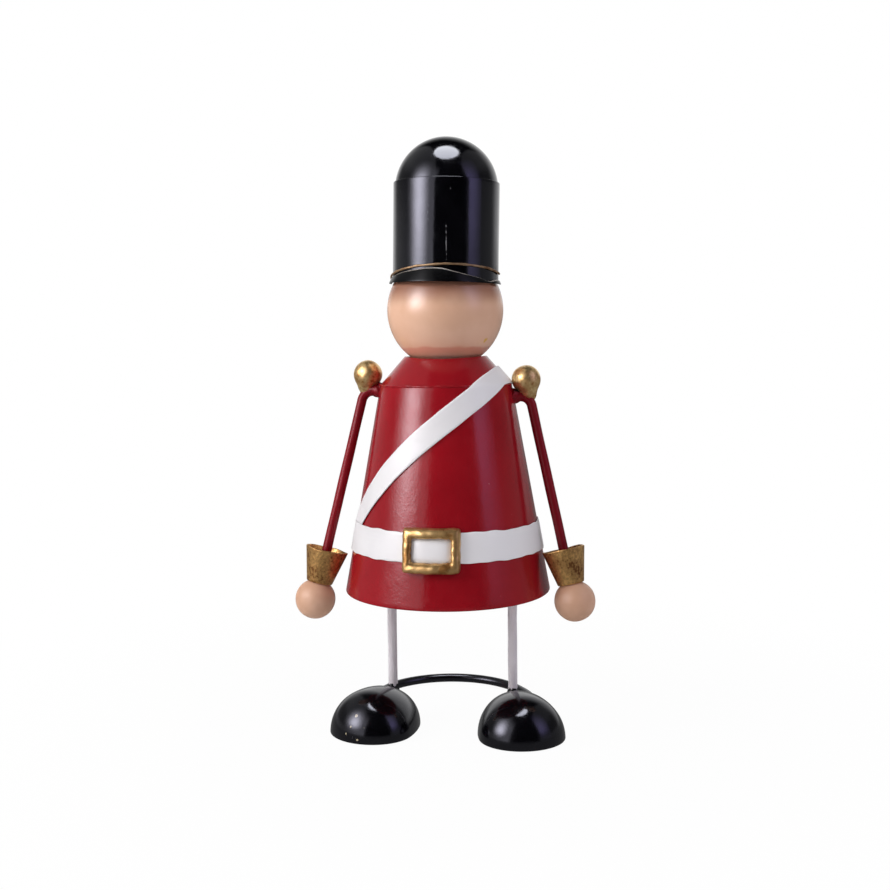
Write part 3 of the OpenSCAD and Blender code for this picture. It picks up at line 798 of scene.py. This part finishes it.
# %% [markdown]
# ## Arms, shoulder balls, cuffs and hands
#
# Each arm is one wire: out of the coat, round a tight bend and straight down to the hand. A weld
# thickens it at the coat. The gilded ball sits on the bend, with leaf and glue smeared round its
# foot; a sheet cone makes the cuff and a turned ball the hand. The right arm is the left one
# mirrored, with its own lumps.

# %% Arm frame
ARM_DROP, BEND_OUT, STUB_IN = 2.9, 2.1, 1.0
ARM_Z = SEAM_Z - ARM_DROP
ARM_LEAN, ARM_OUT = np.radians(7.4), COAT_SLOPE + np.radians(2.4)
BEND_R, ARM_LEN = 4.2, 67.2
BEND_X = coat_r(ARM_Z) + BEND_OUT
BALL_R, BALL_NOTCH, HAND_R = 4.8, 0.7, 6.7
WELD_AT, WELD_LEN, WELD_UP, WELD_LUMP = 1.2, 2.4, 1.1, 0.35
SHOULDER_SKEW, ARM_SKEW = 1.0, 1.7
BALL_LIFT = np.sqrt((BEND_R + WIRE_R + BALL_R - BALL_NOTCH) ** 2 - BEND_R ** 2)


def arm_frame(points, side):
    """Leans points of the arm forward about the stub, lifts them to the shoulder, mirrors the right one.

    The figure's right shoulder was welded a little higher than the left one.
    """
    return spun(points, 2, 1, ARM_LEAN) * [side, 1, 1] + [0, 0, ARM_Z - side * SHOULDER_SKEW]


def along_arm(points):
    """Points in the arm's own frame, Z up along it from the end of the bend, moved to the arm's plane."""
    return spun(points + np.array([BEND_R, 0, 0]), 0, 2, ARM_OUT) + [BEND_X, 0, -BEND_R]


# %% Arm wires
bend = np.linspace(np.pi / 2, ARM_OUT, 28)[1:]
stub = np.stack([np.linspace(SEAM_R - STUB_IN, BEND_X, 22), np.zeros(22), np.zeros(22)], axis=-1)
elbow = np.stack([BEND_X + BEND_R * np.cos(bend), 0 * bend, -BEND_R + BEND_R * np.sin(bend)], axis=-1)
arm_turn = circle(32)
for side, word, seed, finish in ((1, "left", 71, weld_shadow_finish), (-1, "right", 75, arm_finish)):
    down = np.linspace(0, side * ARM_SKEW - ARM_LEN, 91)[1:]
    arm_path = np.concatenate([stub, elbow, along_arm(np.stack([0 * down, 0 * down, down], axis=-1))])
    arm_s = np.concatenate([[0], np.cumsum(np.linalg.norm(np.diff(arm_path, axis=0), axis=1))])[:, None]
    lump = WELD_UP + WELD_LUMP * ripple(arm_turn + arm_s * 0.6, seed, (2, 3, 5))
    weld = np.exp(-((arm_s - WELD_AT) / WELD_LEN) ** 2) * lump
    thick = WIRE_R + weld + 0.035 * ripple(arm_turn + arm_s * 0.11, seed + 1, (1, 2, 3))
    arm_grid = arm_frame(wire(arm_path, [0.0, 1.0, 0.0], thick), side)
    fit(skin("arm_wire_" + word, arm_grid, (False, True)), finish, "coat_paint", "arm_" + word)

# %% Shoulder balls
SMEAR_TURN, SMEAR_UP = 0.42, 2.3
ball_dir = turned(ball_outline, 96)
ball_centre = along_arm([0.0, 0.0, BALL_LIFT])
to_wire = along_arm([0.3, 0.0, -0.6]) - ball_centre
to_wire /= np.linalg.norm(to_wire)
facing = np.arccos(np.clip(ball_dir @ to_wire, -1, 1))
for side, word, seed in ((1, "left", 81), (-1, "right", 85)):
    smear = np.exp(-(facing / SMEAR_TURN) ** 2) * (SMEAR_UP + 8 * shake(ball_dir, seed, 0.5, 0.05))
    size = BALL_R * (1 + shake(ball_dir, seed + 1, 1.1, 0.008)) + smear
    ball_grid = arm_frame(ball_centre + ball_dir * size[..., None], side)
    fit(skin("shoulder_ball_" + word + "_leaf", ball_grid, (True, False)), ball_gold, "gold_leaf",
        "shoulder_ball_" + word)

# %% Cuffs and hands
WRIST_R, CUFF_R, CUFF_H, CUFF_T = 4.4, 7.1, 11.6, 0.6
cuff_seat = np.sqrt((HAND_R + FIT_GAP) ** 2 - (WRIST_R - CUFF_T) ** 2)
cuff_line = np.linspace([WRIST_R, cuff_seat + CUFF_T / 2], [CUFF_R, cuff_seat + CUFF_H - CUFF_T / 2], 30)
for side, word, seed in ((1, "left", 91), (-1, "right", 95)):
    def hand_cut(angle, radius, height):
        """A mouth that is bent and cut by eye: radius and rim wander, more towards the mouth."""
        far = np.clip((height - cuff_seat) / CUFF_H, 0, 1)
        return (radius + 0.12 * far * ripple(angle, seed, (2, 3, 4)),
                height + 0.14 * far * ripple(angle, seed + 1, (2, 3, 5)))
    wrist = [0, 0, side * ARM_SKEW - ARM_LEN]
    cuff_grid = arm_frame(along_arm(turned(sheet_outline(cuff_line, CUFF_T), 128, hand_cut) + wrist), side)
    fit(skin("cuff_cone_" + word, cuff_grid), cuff_gold, "gold_leaf", "cuff_" + word)
    hand_grid = turned(ball_outline * HAND_R, 112)
    hand_grid *= (1 + shake(hand_grid, seed + 2, 6, 0.003))[..., None]
    hand_grid = arm_frame(along_arm(hand_grid + wrist), side)
    fit(skin("hand_ball_" + word, hand_grid, (True, False)), hand_finish, "hand_wood", "hand_" + word)

# %% [markdown]
# ## Legs, boots and rear hoop
#
# The boots are pressed shells, blunt at the toe and long at the heel: two half ellipsoids that share
# their widest section. From the top the skin runs down to the ground, round the edge and up inside.
# A leg stands on each heel with a fillet of weld, and a wire hoop behind keeps the figure upright.

# %% Boots
BOOT_R, TOE, HEEL, BOOT_T = 14.6, 12.9, 23.0, 1.0
BOOT_SIDE, BOOT_FRONT, TOE_OUT, LEG_BACK = 25.6, 6.9, np.radians(16), 16.0


def boot_frame(points, side):
    """Turns a boot's points outward by its toe angle, moves them to the foot and mirrors the right one."""
    return (spun(points, 0, 1, TOE_OUT) + [BOOT_SIDE, -BOOT_FRONT, 0]) * [side, 1, 1]


LIP, LIP_DROP, RUNGS = 0.03, 0.034, 60
climb = np.linspace(np.pi / 2, LIP, RUNGS)
lip_turn = np.linspace(0, np.pi, 9)[1:-1]
shrink = np.concatenate([np.zeros(RUNGS), (1 - np.cos(lip_turn)) / 2, np.ones(RUNGS)]) * BOOT_T
height = np.concatenate([np.sin(climb), LIP - LIP_DROP * np.sin(lip_turn), np.sin(climb[::-1])])
level = np.concatenate([np.cos(climb), np.full(len(lip_turn), np.cos(LIP)), np.cos(climb[::-1])])
round_turn = circle(160)[:, None]
reach = np.where(np.cos(round_turn) > 0, TOE, HEEL)
boot_x = (BOOT_R - shrink) * level * np.sin(round_turn)
boot_y = -(reach - shrink) * level * np.cos(round_turn)
boot_z = (BOOT_R - shrink) * height + 0 * round_turn
boot_grid = np.stack([boot_x, boot_y, np.maximum(boot_z, 0.0)], axis=-1)
for side, word, finish in ((1, "left", boot_finish), (-1, "right", chipped_finish)):
    shell = skin("boot_shell_" + word, boot_frame(boot_grid, side), (True, False))
    fit(shell, finish, "hat_paint", "boot_" + word)

# %% Legs
LEG_SINK, FILLET_UP, FILLET_OUT = 1.8, 0.8, 0.6
leg_box = np.array(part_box("leg_left")) * PER_METRE
leg_foot = BOOT_R * np.sqrt(1 - (LEG_BACK / HEEL) ** 2)
leg_z = np.linspace(leg_foot - LEG_SINK, leg_box[1][2], 90)
for side, word, seed in ((1, "left", 101), (-1, "right", 105)):
    foot = boot_frame([0.0, LEG_BACK, 0.0], side)
    leg_path = foot + np.stack([0 * leg_z, 0 * leg_z, leg_z], axis=-1)
    painted_peak_shadow = (leg_z - leg_foot)[:, None]
    fillet = FILLET_OUT + 0.2 * ripple(arm_turn, seed, (2, 3, 5))
    weld = np.exp(-np.clip(painted_peak_shadow, 0, None) / FILLET_UP) * fillet
    thick = WIRE_R + weld + 0.04 * ripple(arm_turn + painted_peak_shadow * 0.15, seed + 1, (1, 2, 3))
    leg_grid = wire(leg_path, [0.0, 1.0, 0.0], thick)
    fit(skin("leg_wire_" + word, leg_grid, (False, True)), leg_finish, "leg_paint", "leg_" + word)

# %% Rear hoop
HOOP_R, HOOP_BACK, HOOP_SIDE, HOOP_DRIFT, HOOP_SHARE = 29.0, 16.5, 5.0, 3.0, 0.99
hoop_end = boot_frame([HOOP_SIDE, HOOP_BACK, 0.0], 1)
hoop_mid = hoop_end[1] + np.sqrt(HOOP_R ** 2 - hoop_end[0] ** 2)
wrap = np.arctan2(hoop_mid - hoop_end[1], hoop_end[0]) * HOOP_SHARE
sweep = np.linspace(-wrap, np.pi + wrap, 200)
hoop_x, hoop_y = HOOP_R * np.cos(sweep), hoop_mid + HOOP_R * np.sin(sweep)
hoop_path = np.stack([hoop_x, hoop_y, 0 * sweep + WIRE_R], axis=-1)
hoop_path[:, 0] -= HOOP_DRIFT * np.clip((hoop_path[:, 1] - hoop_end[1]) / HOOP_R, 0, 1)
hoop_grid = wire(hoop_path, [0.0, 0.0, 1.0], WIRE_R)
fit(skin("rear_hoop_wire", hoop_grid, (False, True)), hoop_finish, "hat_paint", "rear_hoop")

# %% [markdown]
# ## Floor and light
#
# The photograph has a bare white ground and three soft boxes: a strong one to the viewer's left, a
# weak violet one to the right and a round one above. Their mirror images make the long streaks on
# hat and coat, so each box is split in two: one lamp that only shows in gloss, with the fall-off
# that the streak has, and one that only gives light. The room in front of the figure is dark, which
# is why the middle of the hat is black, and the white room behind it shows in its edges.


# %% Floor
def ground_paint():
    """Pale matt floor that is white to the eye and dim in reflections, and still takes a soft shadow.

    Far from the figure it is pure white, so that it meets the white room without a line.
    """
    material = bpy.data.materials.new("ground_paint")
    material.use_nodes = True
    tree = material.node_tree
    tree.nodes.clear()
    path = put(tree, "LightPath", {})
    seen = maths(tree, "MAXIMUM", path.outputs["Is Camera Ray"], path.outputs["Is Glossy Ray"])
    seen = maths(tree, "MAXIMUM", seen, path.outputs["Is Transmission Ray"])
    place = put(tree, "TexCoord", {}).outputs["Object"]
    far = put(tree, "VectorMath", {0: place}, operation="LENGTH").outputs["Value"]
    white = between(tree, far, 0.05, 0.24, 0.97, 1.0)
    matt = put(tree, "BsdfDiffuse", {"Color": (0.82, 0.82, 0.82, 1)}).outputs[0]
    level = between(tree, path.outputs["Is Glossy Ray"], 0.0, 1.0, 1.0, 0.2)
    glow = put(tree, "Emission", {"Color": (1, 1, 1, 1), "Strength": level}).outputs[0]
    mixed = put(tree, "MixShader", {0: maths(tree, "MULTIPLY", seen, white), 1: matt, 2: glow}).outputs[0]
    put(tree, "OutputMaterial", {"Surface": mixed})
    return material


FLOOR_HALF, FLOOR_Z = 3, -0.0003
corners = [(x * FLOOR_HALF, y * FLOOR_HALF, FLOOR_Z) for x, y in ((-1, -1), (1, -1), (1, 1), (-1, 1))]
floor_mesh = bpy.data.meshes.new("floor")
floor_mesh.from_pydata(corners, [], [(0, 1, 2, 3)])
floor_mesh.materials.append(ground_paint())
floor = bpy.data.objects.new("floor", floor_mesh)
show(floor)
floor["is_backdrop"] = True

# %% World
# Cosine and sine of the camera's turn: the walls stand square to the view
VIEW_COS, VIEW_SIN = 0.989, 0.148
world = bpy.data.worlds.new("studio")
bpy.context.scene.world = world
world.use_nodes = True
sky = world.node_tree
sky.nodes.clear()
way = put(sky, "SeparateXYZ", {0: put(sky, "TexCoord", {}).outputs["Generated"]})
x, y, z = way.outputs[:3]
across = maths(sky, "ADD", maths(sky, "MULTIPLY", x, VIEW_COS), maths(sky, "MULTIPLY", y, VIEW_SIN))
left_edge = maths(sky, "SUBTRACT", across, maths(sky, "MULTIPLY", z, 0.15))
right_edge = maths(sky, "ADD", across, maths(sky, "MULTIPLY", z, 0.31))
lit = maths(sky, "ADD", between(sky, z, 0.1, 0.17, 0.36, 0.15), between(sky, z, 0.35, 0.6, 0.0, 0.2))
left_wall = maths(sky, "MULTIPLY", lit, between(sky, left_edge, -0.49, -0.43, 1.0, 0.0))
right_wall = maths(sky, "MULTIPLY", lit, between(sky, right_edge, 0.68, 0.74, 0.0, 0.65))
back_high = between(sky, z, 0.025, 0.085, 0.35, 1.0)
back_room = maths(sky, "MULTIPLY", back_high, between(sky, y, 0.5, 0.96, 0.0, 1.0))
path = put(sky, "LightPath", {})
room = maths(sky, "ADD", maths(sky, "ADD", left_wall, right_wall), back_room)
overhead = between(sky, z, -0.3, 0.9, 0.15, 0.4)
glossy = put(sky, "Mix", {0: path.outputs["Is Diffuse Ray"], 2: room, 3: overhead}).outputs[0]
strength = put(sky, "Mix", {0: path.outputs["Is Camera Ray"], 2: glossy, 3: 1.0}).outputs[0]
studio = put(sky, "Background", {"Color": (1, 1, 1, 1), "Strength": strength}).outputs[0]
put(sky, "OutputWorld", {"Surface": studio})

# %% Soft boxes
CHEST_Z, EULER, SIDE_FAR, TOP_FAR = 0.12, 2.718, 0.75, 0.62


def soft_box(name, azimuth, elevation, distance, size, radiance, colour, glossy, glow=None):
    """A soft box seen from the figure's chest in a direction; its power is radiance times area times pi.

    glow is (u, v, spread u, spread down, spread up, least at u = 0, least at u = 1): the box is brightest
    at u, v and falls off as a bell, with the least left over, which dies out towards the top.
    """
    lamp = bpy.data.lights.new(name, "AREA")
    lamp.shape = "RECTANGLE" if glow else "ELLIPSE"
    lamp.size, lamp.size_y = size
    lamp.energy = radiance * np.pi * size[0] * size[1]
    lamp.color = colour
    box = bpy.data.objects.new(name, lamp)
    a, e = np.radians([azimuth, elevation])
    way = np.array([np.sin(a) * np.cos(e), -np.cos(a) * np.cos(e), np.sin(e)])
    box.location = way * distance + np.array([0, AXIS[1] / PER_METRE, CHEST_Z])
    box.rotation_euler = (np.pi / 2 - e, 0, a)
    box.visible_diffuse, box.visible_glossy = not glossy, glossy
    show(box)
    if glow:
        lamp.use_nodes = True
        tree = lamp.node_tree
        at = put(tree, "SeparateXYZ", {0: put(tree, "NewGeometry", {}).outputs["Parametric"]})
        top_u, top_v, wide, low, high, *ends = glow
        side = maths(tree, "DIVIDE", maths(tree, "SUBTRACT", at.outputs[0], top_u), wide)
        rise = maths(tree, "SUBTRACT", at.outputs[1], top_v)
        painted_peak_shadow, below = maths(tree, "DIVIDE", rise, high), maths(tree, "DIVIDE", rise, -low)
        up = maths(tree, "MAXIMUM", painted_peak_shadow, below)
        far = maths(tree, "ADD", maths(tree, "MULTIPLY", side, side), maths(tree, "MULTIPLY", up, up))
        bell = maths(tree, "POWER", EULER, maths(tree, "MULTIPLY", far, -1.0))
        least = between(tree, at.outputs[0], 0.0, 1.0, *ends)
        least = maths(tree, "MULTIPLY", least, between(tree, at.outputs[1], 0.5, 1.0, 1.0, 0.0))
        plug(tree, tree.nodes["Emission"], {"Strength": maths(tree, "MAXIMUM", bell, least)})
    return box


key_glow, violet_glow = (0.5, 0.35, 0.215, 0.15, 0.3, 0.0, 0.09), (0.2, 0.35, 0.6, 0.16, 0.4, 0.06, 0.06)
soft_box("key_gloss", -50, 24, SIDE_FAR, (0.95, 0.9), 12.5, (0.97, 0.945, 1.0), True, key_glow)
soft_box("key_light", -61, 24, SIDE_FAR, (0.5, 0.5), 5.5, (1.0, 0.985, 0.975), False)
soft_box("violet_gloss", 71, 24, SIDE_FAR, (0.42, 0.9), 1.7, (0.6, 0.52, 1.0), True, violet_glow)
soft_box("violet_light", 66, 32, SIDE_FAR, (0.4, 0.4), 2.3, (0.88, 0.85, 1.0), False)
top_gloss = soft_box("top_gloss", CAMERA_TURN, 81, TOP_FAR, (0.4, 0.4), 9.2, (0.97, 0.985, 1.0), True)
soft_box("top_light", CAMERA_TURN, 80, TOP_FAR, (0.4, 0.4), 0.4, (1.0, 1.0, 1.0), False)

# %% [markdown]
# The round box shows on the hat and the boots, but the photograph has no image of it on the red
# shoulders. A studio would set a flag between; here its glossy lamp is linked to the black pieces.

# %% A flag under the round box
crown = bpy.data.collections.new("crown")
for name in ("hat_dome_skin", "hat_tube_skin", "hat_peak",
             "boot_shell_left", "boot_shell_right", "rear_hoop_wire"):
    crown.objects.link(bpy.data.objects[name])
top_gloss.light_linking.receiver_collection = crown

# %% Sizes of the CAD model and of the pieces
size = {"cad": [list(map(float, c)) for c in cad_box], "visual": [list(map(float, c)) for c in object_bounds()]}
print(size)
